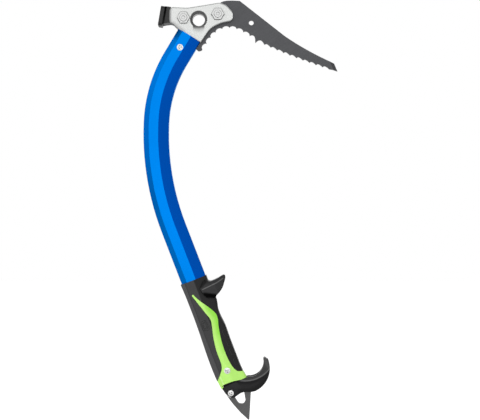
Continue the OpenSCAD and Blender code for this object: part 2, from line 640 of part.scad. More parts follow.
// ---- Spike ----
eye_outline = [[-5.4, -14.9, 2], [-3, -26.4, 4], [1.9, -29.6, 4.2], [6, -26.6, 4], [8.6, -13.4, 3], [1.6, -11.8, 3]];
module spike() {
    tang_middle = -handle_screw_back;
    from_clip() color([0.42, 0.42, 0.42]) in_butt() plate(plate_t) difference() {
        polygon([[16, -fit], [16.4, -17.4], spike_tip + [1.1, 1.4], spike_tip, spike_tip + [-0.8, 0.9],
                 each curve([[-4.7, -37.9], [-9.2, -25.8], [-12.4, -14.6], [-15.2, -3.3]], 3), collar_foot - [0, fit],
                 [tang_middle - spike_tang_w / 2, -fit], [tang_middle - spike_tang_w / 2, spike_tang_len],
                 [tang_middle + spike_tang_w / 2, spike_tang_len], [tang_middle + spike_tang_w / 2, -fit]]);
        polygon(rounded(eye_outline, 5));
        translate(pivot) circle(r = bush_r + fit);
        translate([-handle_screw_back, handle_screw_h]) circle(r = screw_r + fit);
    }
}

// ---- Grip rest: a fork that straddles the spike, turning about one bolt ----
rest_curl = [26.9, 15];
rest_back = [19.5, 9.9];
rest_outline = [
    [-16, -swing_gap], [18.2, -swing_gap],
    each arc(rest_curl, 17, 243, 346, 14),
    each curve([[43.7, 12.6], [45, 13.9], [46.5, 13.6], [47.6, 11.8]], 3),
    each arc(rest_back, 29.5, 1, -87, 14),
    each curve([[16.6, -18.9], [12, -17], [7.6, -15.7], [2.7, -15.5], [-2.1, -16.5], [-5, -17.3], [-7.6, -16.4],
                [-9.8, -13.9], [-12.2, -10.4], [-13.8, -6], [-14.8, -2.6]], 3)];
module grip_rest() {
    from_clip() color([0.17, 0.17, 0.18]) in_butt() difference() {
        plate(rest_t) intersection() {
            polygon(rest_outline);
            union() {
                translate(pivot) circle(r = lug_r);
                translate([-pivot_back, -far / 2]) square(far);
            }
        }
        plate(2 * slot_half) translate(pivot) circle(r = norm(spike_tip - pivot) + 4 * swing_gap);
        across(pivot, screw_r + fit, far);
    }
}
module pivot_bush() {
    length = 2 * slot_half - side_gap;
    from_clip() color([0.7, 0.55, 0.3]) in_butt() difference() {
        across(pivot, bush_r, length);
        across(pivot, screw_r + run_fit, far);
    }
}
washer_rim = 2.4;
module pivot_washers() {
    from_clip() color([0.6, 0.6, 0.6]) in_butt() for (side = [-1, 1]) difference() {
        across(pivot, bush_r + washer_rim, washer_t, side * (plate_t + washer_t) / 2);
        across(pivot, bush_r + fit, far);
    }
}
nut_seat = rest_t / 2;
pivot_nut_h = 2.4;
module pivot_bolt() {
    from_clip() color([0.85, 0.85, 0.86]) in_butt() {
        near_side(pivot, rest_t / 2) domed_head(screw_head_r - 0.2, screw_head_h);
        translate([pivot.x, -rest_t / 2, pivot.y]) rotate([-90, 0, 0])
            cylinder(r = screw_r, h = rest_t + pivot_nut_h + thread_show);
    }
}
module pivot_nut() {
    from_clip() color([0.8, 0.8, 0.8]) in_butt() far_side(pivot, nut_seat) difference() {
        hex(2 * screw_head_r - 0.4, pivot_nut_h);
        translate([0, 0, -1]) cylinder(r = screw_r + fit, h = pivot_nut_h + 2);
    }
}

shaft_tube();
head_cheek_near();
head_cheek_far();
head_web();
pick();
hammer();
pick_bolt();
pick_nut();
hammer_bolt();
hammer_nut();
tang_screw();
tang_barrel_nut();
handle_core();
grip_rubber();
trigger();
trigger_screw();
trigger_insert();
butt_plug();
spike();
handle_screw();
handle_barrel_nut();
grip_rest();
pivot_bush();
pivot_washers();
pivot_bolt();
pivot_nut();
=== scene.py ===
# Looks of the ice axe: materials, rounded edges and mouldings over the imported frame.
import json
from math import cos, dist, hypot, pi, radians, sin

import bpy
import bmesh
from mathutils import Matrix, Vector
from mathutils.bvhtree import BVHTree


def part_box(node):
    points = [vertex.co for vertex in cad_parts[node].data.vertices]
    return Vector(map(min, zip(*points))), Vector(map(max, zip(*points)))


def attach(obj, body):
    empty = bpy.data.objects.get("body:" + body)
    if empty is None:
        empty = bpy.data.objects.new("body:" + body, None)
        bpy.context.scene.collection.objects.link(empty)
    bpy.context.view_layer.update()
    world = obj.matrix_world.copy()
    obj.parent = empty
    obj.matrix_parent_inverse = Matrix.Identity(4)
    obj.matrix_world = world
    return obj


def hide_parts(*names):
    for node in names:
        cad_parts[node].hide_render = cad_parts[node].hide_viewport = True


MM = 0.001
W, H = 480, 420
LONG = max(W, H)
ORIGIN = (0, 0, 0)

# The handle's own frame: the middle of its bottom face, forward to the grip rest's tip, and up the handle
BUTT = Vector((0.040905, 0, -0.43317))
FORWARD, UP = Vector((0.93295, 0, 0.36)), Vector((-0.36, 0, 0.93295))

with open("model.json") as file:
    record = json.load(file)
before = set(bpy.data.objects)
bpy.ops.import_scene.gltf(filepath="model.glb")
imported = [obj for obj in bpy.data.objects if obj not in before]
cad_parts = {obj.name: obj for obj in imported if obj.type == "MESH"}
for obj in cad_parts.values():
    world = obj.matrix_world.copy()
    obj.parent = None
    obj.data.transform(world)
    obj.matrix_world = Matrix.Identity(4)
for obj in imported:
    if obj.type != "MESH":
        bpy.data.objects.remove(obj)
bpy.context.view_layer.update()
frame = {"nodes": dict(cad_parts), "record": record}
nodes = frame["nodes"]


def in_scene(name, data):
    """A new object, linked to the scene."""
    ob = bpy.data.objects.new(name, data)
    bpy.context.scene.collection.objects.link(ob)
    return ob


# ---- Camera: level with the middle of the axe's height, square to its side ----
camera_back = 1.06
camera_at = (0.0493, -0.2274)
lens = 66.25
camera_data = bpy.data.cameras.new("camera")
camera_data.lens = lens
camera_data.sensor_width = 36
camera_data.sensor_fit = "AUTO"
camera_data.clip_start = 0.01
camera = in_scene("camera", camera_data)
camera.location = (camera_at[0], -camera_back, camera_at[1])
camera.rotation_euler = (radians(90), 0, 0)
bpy.context.scene.camera = camera

# ---- Image points of the photograph ----
POINTS = {
    "left": (143.7, 136), "right": (337.3, 71.2), "top": (231, 0.4), "bottom": (249.4, 419.4),
    "clip_hole": (198.9, 20.6), "lanyard_hole": (251.3, 23.1), "pick_tip": (337.0, 71.4),
    "big_tooth": (255.8, 43.0), "hammer_top": (162.4, 6.6), "cheek_nose": (232.8, 14.6),
    "pick_nut": (217.8, 13.8), "hammer_nut": (183.5, 17.7), "tang_screw": (179.92, 47.1),
    "trigger_tip": (224.0, 274.8), "handle_screw": (227.19, 370.93), "pivot_screw": (230.85, 393.39),
    "rest_tip": (265.2, 357.3), "spike_eye": (240.6, 397.5),
}


def pixel_ray(x, y):
    """The camera's position and the direction through an image point."""
    way = Vector((x - W / 2 + camera_data.shift_x * LONG, H / 2 - y + camera_data.shift_y * LONG,
                  -LONG * lens / camera_data.sensor_width))
    turn = camera.rotation_euler.to_matrix()
    return camera.location.copy(), (turn @ way).normalized()


def pixel_of(p):
    """The image point at which a point of the row frame shows."""
    local = camera.rotation_euler.to_matrix().transposed() @ (Vector(p) - camera.location)
    k = LONG * lens / camera_data.sensor_width / -local.z
    return (W / 2 + local.x * k - camera_data.shift_x * LONG,
            H / 2 - local.y * k + camera_data.shift_y * LONG)


def tree_of(*carriers):
    """Every face of the carriers, ready for rays."""
    bm = bmesh.new()
    graph = bpy.context.evaluated_depsgraph_get()
    for o in carriers:
        bm.from_object(o, graph)
    tree = BVHTree.FromBMesh(bm)
    bm.free()
    return tree


def surface_under(name, *carriers):
    """Where the ray through a named image point meets the carriers, or their place nearest to it."""
    start, way = pixel_ray(*POINTS[name])
    tree = tree_of(*carriers)
    place = tree.ray_cast(start, way)[0]
    if place is None:
        place = tree.find_nearest(start + way * camera_back)[0]
    return place


# ---- Node building ----
def put(tree, kind, inputs=None, **settings):
    """A node with its settings, and its inputs given as values or as sockets to link."""
    n = tree.nodes.new(kind)
    for key, value in settings.items():
        setattr(n, key, value)
    for key, value in (inputs or {}).items():
        if isinstance(value, bpy.types.NodeSocket):
            tree.links.new(value, n.inputs[key])
        else:
            n.inputs[key].default_value = value
    return n


def effect(tree, which, **inputs):
    """The outputs of a shader group that is put into a material or another group."""
    return put(tree, "ShaderNodeGroup", inputs, node_tree=which).outputs


def calc(tree, operation, *values, clamp=False):
    """The result of an operation on values."""
    n = put(tree, "ShaderNodeMath", dict(enumerate(values)), operation=operation, use_clamp=clamp)
    return n.outputs[0]


def times(tree, product, *factors):
    """The product of several values."""
    for factor in factors:
        product = calc(tree, "MULTIPLY", product, factor)
    return product


def most(tree, a, b):
    """The larger of two values."""
    return calc(tree, "MAXIMUM", a, b)


def vec(tree, operation, *values):
    """The result of an operation on vectors: a value for a dot product, distance or length, else a vector."""
    n = put(tree, "ShaderNodeVectorMath", dict(enumerate(values)), operation=operation)
    return n.outputs["Value" if operation in ("DOT_PRODUCT", "DISTANCE", "LENGTH") else "Vector"]


def scaled(tree, vector, factor):
    """A vector or colour times a value."""
    return put(tree, "ShaderNodeVectorMath", {0: vector, 3: factor}, operation="SCALE").outputs["Vector"]


def split(tree, vector):
    """The three parts of a vector."""
    return put(tree, "ShaderNodeSeparateXYZ", {0: vector}).outputs


def joined(tree, **parts):
    """A vector from its parts X, Y and Z, those left out being 0."""
    return put(tree, "ShaderNodeCombineXYZ", parts).outputs[0]


def blend(tree, factor, a, b):
    """Colour a, going over into colour b as the factor goes from 0 to 1."""
    return put(tree, "ShaderNodeMix", {0: factor, 6: a, 7: b}, data_type="RGBA").outputs[2]


def ramp(tree, value, low, high, to_low=0.0, to_high=1.0):
    """A smooth change from to_low at low to to_high at high."""
    return put(tree, "ShaderNodeMapRange", {0: value, 1: low, 2: high, 3: to_low, 4: to_high},
               interpolation_type="SMOOTHSTEP").outputs[0]


def place_in(tree):
    """The shaded point in the row frame, in metres."""
    return put(tree, "ShaderNodeTexCoord").outputs["Object"]


def normal_in(tree):
    """The way the surface looks at the shaded point, in the row frame."""
    return put(tree, "ShaderNodeTexCoord").outputs["Normal"]


def noise(tree, place, scale, detail, **more):
    """Soft noise, from about 0 to 1."""
    inputs = {"Vector": place, "Scale": scale, "Detail": detail, **more}
    return put(tree, "ShaderNodeTexNoise", inputs).outputs[0]


def side_view(tree):
    """x and z of the shaded point, in mm."""
    x, _, z = split(tree, scaled(tree, place_in(tree), 1 / MM))
    return x, z


def facing(tree, axis, low, high):
    """How far the surface looks along an axis of the row frame."""
    return ramp(tree, vec(tree, "DOT_PRODUCT", normal_in(tree), axis), low, high)


def turned_aside(tree, low, high):
    """1 where the surface no longer looks squarely out of the axe's side."""
    return ramp(tree, calc(tree, "ABSOLUTE", split(tree, normal_in(tree))[1]), high, low)


# ---- Shared effects ----
FLOAT, VECTOR = "NodeSocketFloat", "NodeSocketVector"


def group(name, inputs, outputs):
    """An empty shader group with named float or vector sockets."""
    tree = bpy.data.node_groups.new(name, "ShaderNodeTree")
    for key, kind, value in inputs:
        tree.interface.new_socket(key, in_out="INPUT", socket_type=kind).default_value = value
    for key, kind in outputs:
        tree.interface.new_socket(key, in_out="OUTPUT", socket_type=kind)
    return tree, tree.nodes.new("NodeGroupInput").outputs, tree.nodes.new("NodeGroupOutput").inputs


def build_grain():
    """Fine and coarse unevenness of a surface, for its roughness, its shade and its bumps."""
    t, i, o = group("surface_grain",
                    [("Fine", FLOAT, 900), ("Coarse", FLOAT, 40), ("Roughness", FLOAT, 0.5),
                     ("Variation", FLOAT, 0.1)],
                    [("Roughness", FLOAT), ("Shade", FLOAT), ("Height", FLOAT)])
    place = place_in(t)
    fine = noise(t, place, i["Fine"], 3, Roughness=0.6)
    coarse = noise(t, place, i["Coarse"], 4)
    both = calc(t, "ADD", times(t, fine, 0.45), times(t, coarse, 0.55))
    off = times(t, calc(t, "SUBTRACT", both, 0.5), i["Variation"])
    t.links.new(calc(t, "ADD", i["Roughness"], times(t, off, 2.4), clamp=True), o["Roughness"])
    t.links.new(calc(t, "ADD", 1.0, times(t, off, 1.6)), o["Shade"])
    t.links.new(fine, o["Height"])
    return t


def build_wear():
    """Mask of rubbed outer edges, broken up by noise."""
    t, i, o = group("edge_wear", [("Width", FLOAT, 0.0006), ("Amount", FLOAT, 0.5), ("Breakup", FLOAT, 260)],
                    [("Mask", FLOAT)])
    rounded = put(t, "ShaderNodeBevel", {"Radius": i["Width"]}, samples=4).outputs[0]
    flat = put(t, "ShaderNodeNewGeometry").outputs["Normal"]
    edge = ramp(t, vec(t, "DOT_PRODUCT", rounded, flat), 0.985, 0.80)
    broken = ramp(t, noise(t, place_in(t), i["Breakup"], 3), 0.42, 0.62)
    t.links.new(calc(t, "MULTIPLY", times(t, edge, broken), i["Amount"], clamp=True), o["Mask"])
    return t


def build_grind():
    """Fine parallel grinding marks along one direction."""
    t, i, o = group("grinding_marks",
                    [("Turn", VECTOR, ORIGIN), ("Scale", FLOAT, 700), ("Stretch", FLOAT, 0.03)],
                    [("Shade", FLOAT)])
    turned = put(t, "ShaderNodeVectorRotate", {"Vector": place_in(t), "Rotation": i["Turn"]},
                 rotation_type="EULER_XYZ").outputs[0]
    stretched = vec(t, "MULTIPLY", turned, joined(t, X=i["Stretch"], Y=1.0, Z=1.0))
    marks = noise(t, stretched, i["Scale"], 4, Roughness=0.7)
    t.links.new(ramp(t, marks, 0.3, 0.7, 0.93, 1.07), o["Shade"])
    return t


def build_pebble():
    """Moulded pebble texture of rubber and plastic."""
    t, i, o = group("moulded_pebble", [("Scale", FLOAT, 1500)], [("Height", FLOAT)])
    cells = put(t, "ShaderNodeTexVoronoi", {"Vector": place_in(t), "Scale": i["Scale"]}, feature="SMOOTH_F1")
    t.links.new(calc(t, "SUBTRACT", 1.0, cells.outputs["Distance"]), o["Height"])
    return t


def build_handle_place():
    """Where a point lies in the handle's side view, forward and up from its bottom face, in mm."""
    t, _, o = group("handle_place", [], [("Place", VECTOR)])
    off = vec(t, "SUBTRACT", place_in(t), tuple(BUTT))
    u, h = (calc(t, "DIVIDE", vec(t, "DOT_PRODUCT", off, tuple(way)), MM) for way in (FORWARD, UP))
    t.links.new(joined(t, X=u, Y=h), o["Place"])
    return t


def build_near_segment():
    """1 on the segment between two points of a side view, 0 beyond its reach."""
    t, i, o = group("near_segment",
                    [("Place", VECTOR, ORIGIN), ("From", VECTOR, ORIGIN), ("To", VECTOR, (1, 0, 0)),
                     ("Reach", FLOAT, 1)],
                    [("Mask", FLOAT)])
    way = vec(t, "SUBTRACT", i["To"], i["From"])
    off = vec(t, "SUBTRACT", i["Place"], i["From"])
    share = calc(t, "DIVIDE", vec(t, "DOT_PRODUCT", off, way), vec(t, "DOT_PRODUCT", way, way), clamp=True)
    gap = vec(t, "DISTANCE", off, scaled(t, way, share))
    t.links.new(ramp(t, calc(t, "DIVIDE", gap, i["Reach"]), 1.0, 0.3), o["Mask"])
    return t


def build_near_arc():
    """1 on a circle of a side view, 0 beyond its reach; Outside is how far a point lies outside it."""
    t, i, o = group("near_arc",
                    [("Place", VECTOR, ORIGIN), ("Centre", VECTOR, ORIGIN), ("Radius", FLOAT, 10),
                     ("Reach", FLOAT, 1)],
                    [("Mask", FLOAT), ("Outside", FLOAT)])
    out = calc(t, "SUBTRACT", vec(t, "DISTANCE", i["Place"], i["Centre"]), i["Radius"])
    t.links.new(ramp(t, calc(t, "DIVIDE", calc(t, "ABSOLUTE", out), i["Reach"]), 1.0, 0.3), o["Mask"])
    t.links.new(out, o["Outside"])
    return t


def build_frame_line():
    """1 on a line with rounded corners round a box of the given half size, 0 beside it."""
    t, i, o = group("frame_line",
                    [("Place", VECTOR, ORIGIN), ("Centre", VECTOR, ORIGIN), ("Half", VECTOR, (2, 3, 0)),
                     ("Corner", FLOAT, 1), ("Line", FLOAT, 0.5)],
                    [("Mask", FLOAT)])
    out = vec(t, "SUBTRACT", vec(t, "ABSOLUTE", vec(t, "SUBTRACT", i["Place"], i["Centre"])), i["Half"])
    out = vec(t, "ADD", out, joined(t, X=i["Corner"], Y=i["Corner"]))
    x, y, _ = split(t, out)
    beyond = vec(t, "LENGTH", vec(t, "MAXIMUM", vec(t, "MULTIPLY", out, (1, 1, 0)), ORIGIN))
    within = calc(t, "MINIMUM", most(t, x, y), 0.0)
    gap = calc(t, "SUBTRACT", calc(t, "ADD", beyond, within), i["Corner"])
    t.links.new(ramp(t, calc(t, "DIVIDE", calc(t, "ABSOLUTE", gap), i["Line"]), 1.0, 0.2), o["Mask"])
    return t


grain, wear, grind, pebble = build_grain(), build_wear(), build_grind(), build_pebble()
handle_place, near_segment = build_handle_place(), build_near_segment()
near_arc, frame_line = build_near_arc(), build_frame_line()

# ---- Finishes ----
BUMP_MM, EMBOSS_MM = 0.05, 0.9


def grey(level):
    return level, level, level


def finish_of(name, colour, metallic=0.0, roughness=0.5, variation=0.1, fine=900, coarse=40, bump=0.1,
              height=None, shade=None, specular=0.5, specular_tint=(1.0, 1.0, 1.0), paints=(), worn=None,
              emboss=None, hush=None):
    """One finish: a grained colour, colours painted under masks, worn edges, fine and raised bumps.

    Each paint gives its mask, its colour, and its roughness or None. worn gives the bare edges' colour, width
    and amount. hush is a mask that takes the sheen away.
    """
    m = bpy.data.materials.new(name)
    m.use_nodes = True
    t = m.node_tree
    t.nodes.clear()
    g = effect(t, grain, Fine=fine, Coarse=coarse, Roughness=roughness, Variation=variation)
    tone = scaled(t, colour, g["Shade"])
    rough = g["Roughness"]
    if shade:
        tone = scaled(t, tone, shade(t))
    for paint in paints:
        where, painted, painted_rough = paint(t)
        tone = blend(t, where, tone, (*painted, 1))
        if painted_rough is not None:
            rough = put(t, "ShaderNodeMix", {0: where, 2: rough, 3: painted_rough}).outputs[0]
    if worn:
        bare, width, amount = worn
        tone = blend(t, effect(t, wear, Width=width, Amount=amount)["Mask"], tone, (*bare, 1))
    bumps = put(t, "ShaderNodeBump", {"Strength": bump, "Distance": BUMP_MM * MM,
                                      "Height": height(t) if height else g["Height"]}).outputs[0]
    if emboss:
        bumps = put(t, "ShaderNodeBump", {"Strength": 1.0, "Distance": EMBOSS_MM * MM, "Height": emboss(t),
                                          "Normal": bumps}).outputs[0]
    if hush:
        specular = times(t, calc(t, "SUBTRACT", 1.0, hush(t)), specular)
    shader = put(t, "ShaderNodeBsdfPrincipled", {
        "Base Color": tone, "Roughness": rough, "Metallic": metallic, "Specular IOR Level": specular,
        "Specular Tint": (*specular_tint, 1), "Normal": bumps})
    put(t, "ShaderNodeOutputMaterial", {"Surface": shader.outputs[0]})
    return m


# ---- What is painted on the head: places in its side view, in mm from the clip hole's axis ----
CHEEK_REAR = -35.4
HEEL_REAR, HEEL_FRONT, HEEL_REACH = (-31.2, 0, -6.6), (-20.6, 0, -14.6), 6.2
HAMMER_FACE, HAMMER_TILT, GROOVE_BEHIND = (-46.5, 0, 4.6), radians(9.9), 5.7


def scoop_middle(t, x):
    """1 over the scoop's width, 0 beside it."""
    return ramp(t, calc(t, "ABSOLUTE", x), 7.8, 5.8)


def bore_painted_shade(t):
    """Painted shade on the clip hole's machined wall and countersink, which turn away from the side: darker
    than the blasted cheek, and smoother.
    """
    x, z = side_view(t)
    in_scoop = times(t, scoop_middle(t, x), ramp(t, z, -7.8, -9.5))
    by_hole = ramp(t, vec(t, "LENGTH", joined(t, X=x, Z=z)), 14.5, 12.5)
    near = times(t, by_hole, calc(t, "SUBTRACT", 1.0, in_scoop))
    return times(t, turned_aside(t, 0.80, 0.97), near), grey(0.10), 0.42


def scoop_painted_shade(t):
    """Painted shade in the scoop below the clip hole: darkest at the hole, fading out downwards."""
    x, z = side_view(t)
    steep = times(t, ramp(t, z, -12.2, -8.2), 0.66)
    faint = times(t, ramp(t, z, -16.0, -10.0), 0.16)
    down = times(t, calc(t, "ADD", steep, faint), ramp(t, z, -4.5, -7.0))
    return times(t, down, scoop_middle(t, x)), grey(0.05), None


def rim_painted_shade(t):
    """Painted shade: a darker line inside the cheeks' rounded top edge, and a darker underside."""
    up = split(t, put(t, "ShaderNodeBevel", {"Radius": 2.5 * MM}, samples=8).outputs[0])[2]
    _, z = side_view(t)
    line = times(t, ramp(t, up, 0.05, 0.18), ramp(t, up, 0.72, 0.46), ramp(t, z, 2, 6))
    under = times(t, ramp(t, up, -0.08, -0.5), 0.8)
    return times(t, most(t, line, under), 0.9), (0.20, 0.205, 0.20), None


def rear_end_painted_shade(t):
    """Painted shade where the cheeks' rear end falls away in a soft round."""
    x, _ = side_view(t)
    return ramp(t, x, CHEEK_REAR + 4.4, CHEEK_REAR - 0.6), grey(0.05), None


def heel_painted_shade(t):
    """Painted shade where the cheeks' heel between the hammer and the tube curves away."""
    x, z = side_view(t)
    place = joined(t, X=x, Z=z)
    near = effect(t, near_segment, Place=place, From=HEEL_REAR, To=HEEL_FRONT, Reach=HEEL_REACH)["Mask"]
    return times(t, near, 0.42), grey(0.16), None


def ring_painted_shade(t):
    """Painted shade on nuts and bolt ends: the chamfers are darker, most on the side away from the light."""
    shade_side = facing(t, (-0.8, 0, -0.6), 0.03, 0.22)
    return most(t, times(t, turned_aside(t, 0.75, 0.97), 0.75), shade_side), grey(0.045), 0.55


def upward_edge_painted_shade(t):
    """Painted shade: the pick's edges that look upwards are painted darker, and smoother."""
    return facing(t, (0.5, 0, 0.86), 0.25, 0.5), (0.018, 0.018, 0.020), 0.35


def pick_marks(t):
    """Grinding marks along the pick."""
    return effect(t, grind, Turn=(0, radians(32), 0), Scale=900, Stretch=0.04)["Shade"]


def hammer_groove(t):
    """1 in the groove between the hammer's flange and its neck, most in its upper part."""
    inward = (cos(HAMMER_TILT), 0, -sin(HAMMER_TILT))
    behind = vec(t, "DOT_PRODUCT", vec(t, "SUBTRACT", scaled(t, place_in(t), 1 / MM), HAMMER_FACE), inward)
    gap = calc(t, "ABSOLUTE", calc(t, "SUBTRACT", behind, GROOVE_BEHIND))
    _, z = side_view(t)
    return times(t, ramp(t, gap, 1.5, 0.6), ramp(t, z, -6, 8, 0.55, 0.95))


def groove_painted_shade(t):
    """Painted shade: the hammer's groove is painted black."""
    return hammer_groove(t), grey(0.001), 0.6


# ---- What is painted on the tube ----
def tube_shade(t):
    """The tube's top is a little deeper than its lower end."""
    _, z = side_view(t)
    return ramp(t, z, -300, -20, 1.03, 0.92)


def front_facet_painted_shade(t):
    """Painted shade: the front facets, which reflect darker surroundings, are painted a deeper blue."""
    return facing(t, (1, 0, 0), 0.08, 0.34), (0.0, 0.061, 0.345), 0.34


def rear_facet_painted_shade(t):
    """Painted shade: the rear facets are darker in the upper half of the bend."""
    _, z = side_view(t)
    along = times(t, ramp(t, z, -270, -150), ramp(t, z, -40, -130, 0.2, 1.1))
    return times(t, along, facing(t, (-1, 0, 0), 0.15, 0.5)), (0.0, 0.064, 0.25), None


def tube_edge_painted_shade(t):
    """Painted shade: the blue is darkest where the tube turns right away at its edges."""
    away = put(t, "ShaderNodeLayerWeight", {"Blend": 0.5}).outputs["Facing"]
    sides = most(t, facing(t, (-1, 0, 0), 0.2, 0.6), facing(t, (1, 0, 0), 0.5, 0.8))
    return times(t, ramp(t, away, 0.55, 0.85), sides), (0.0, 0.045, 0.20), None


# ---- What is painted on the handle: places in its side view, in mm forward and up from its bottom face ----
RIDGE_CENTRE, RIDGE_R = (27.5, 32.0), 37.7
FRAME_LINE, LAND_REACH = 0.55, 8.5
PAD_FRAMES = [(13.0, h, 2.6, 3.9, 1.4) for h in (22.8, 34.9, 46.7, 58.6)]
PAD_OVALS = [(-6.1, 75.8, 3.7, 6.0, 3.4), (-6.1, 75.8, 2.0, 3.6, 1.8)]


def handle_segment(t, start, end, reach):
    """1 on the segment between two places of the handle's side view, 0 beyond its reach."""
    place = effect(t, handle_place)["Place"]
    return effect(t, near_segment, Place=place, From=(*start, 0), To=(*end, 0), Reach=reach)["Mask"]


def trigger_ridge_painted_highlight(t):
    """Painted highlight along the ridge across the trigger's side."""
    first = handle_segment(t, (6.5, 116.9), (25.0, 118.3), 0.9)
    second = handle_segment(t, (25.0, 118.3), (33.5, 120.2), 0.8)
    return times(t, most(t, first, second), 0.75), grey(0.13), 0.4


def trigger_hollow(t):
    """1 in the hollow below the ridge at the trigger's root, less in the one above it."""
    low = handle_segment(t, (6.4, 109.8), (17.2, 104.0), 4.6)
    high = handle_segment(t, (6.5, 121.5), (12.0, 124.5), 3.6)
    return times(t, most(t, low, times(t, high, 0.6)), 0.92)


def trigger_hollow_painted_shade(t):
    """Painted shade: the trigger's hollows are painted black."""
    return trigger_hollow(t), grey(0.001), 0.6


def pad_back_painted_light(t):
    """Painted light: the grip's rear, where it looks backwards, is paler."""
    return facing(t, (-0.61, 0, -0.236), 0.12, 0.38), (0.042, 0.042, 0.044), None


def pad_front(t):
    """1 where the grip looks forward."""
    return facing(t, tuple(FORWARD), 0.10, 0.28)


def pad_front_painted_shade(t):
    """Painted shade: the grip's front, where it looks forward away from the light, is painted black."""
    return pad_front(t), grey(0.001), None


def pad_hush(t):
    """The grip's front has less sheen."""
    return times(t, pad_front(t), 0.32)


def grip_emboss(t):
    """Raised frames along the front pad and two nested ovals on the rear pad."""
    place = effect(t, handle_place)["Place"]
    total = 0.0
    for u, h, half_u, half_h, corner in PAD_FRAMES + PAD_OVALS:
        line = effect(t, frame_line, Place=place, Centre=(u, h, 0), Half=(half_u, half_h, 0), Corner=corner,
                      Line=FRAME_LINE)["Mask"]
        total = most(t, total, line)
    return total


def frame_painted_highlight(t):
    """Painted highlight: the raised frames are painted a little paler."""
    return times(t, grip_emboss(t), 0.9), grey(0.040), None


def land_paint(t):
    """The core's land between the grip's pads is a deeper green, most in its upper half."""
    top = handle_segment(t, (8.0, 94), (12.0, 80), LAND_REACH)
    middle = handle_segment(t, (12.0, 80), (9.0, 62), LAND_REACH)
    low = times(t, handle_segment(t, (8.5, 60), (7.5, 42), LAND_REACH), 0.6)
    return times(t, most(t, most(t, top, middle), low), 0.95), (0.30, 0.80, 0.05), None


def collar_crease_painted_highlight(t):
    """Painted highlight: a pale line runs up the crease of the collar's rear."""
    return times(t, handle_segment(t, (-10.9, 1.4), (-11.5, 12.5), 0.8), 0.5), (0.80, 1.0, 0.55), None


def collar_under_painted_shade(t):
    """Painted shade: the collar's sloping underside, in the grip rest's shadow, is painted nearly black."""
    return facing(t, tuple(-UP), 0.45, 0.75), (0.003, 0.004, 0.002), None


def spike_marks(t):
    """Grinding marks along the spike."""
    return effect(t, grind, Turn=(0, radians(62), 0), Scale=800, Stretch=0.04)["Shade"]


def by_rest_ridge(t, **reach):
    """The outputs of the arc along the grip rest's ridge, and how far forward a point lies."""
    place = effect(t, handle_place)["Place"]
    arc = effect(t, near_arc, Place=place, Centre=(*RIDGE_CENTRE, 0), Radius=RIDGE_R, **reach)
    return arc, split(t, place)[0]


def rest_ridge_painted_highlight(t):
    """Painted highlight along the grip rest's ridge."""
    arc, forward = by_rest_ridge(t, Reach=1.1)
    return times(t, arc["Mask"], ramp(t, forward, 5.0, 11.0), 0.8), grey(0.15), 0.35


def rest_flange_painted_light(t):
    """Painted light: the flange above the ridge is paler than the side below it."""
    arc, forward = by_rest_ridge(t)
    above = ramp(t, arc["Outside"], 0.5, -0.5)
    return times(t, above, ramp(t, forward, 8.0, 13.0), 0.6), grey(0.045), 0.45


def rest_tip_painted_light(t):
    """Painted light: the grip rest's tip is paler."""
    return times(t, handle_segment(t, (45.5, 11.5), (47.5, 3.0), 4.5), 0.7), grey(0.075), 0.4


def pebbled(scale):
    """The height of moulded pebbles, the finer the larger the scale."""
    def height(t):
        return effect(t, pebble, Scale=scale)["Height"]
    return height


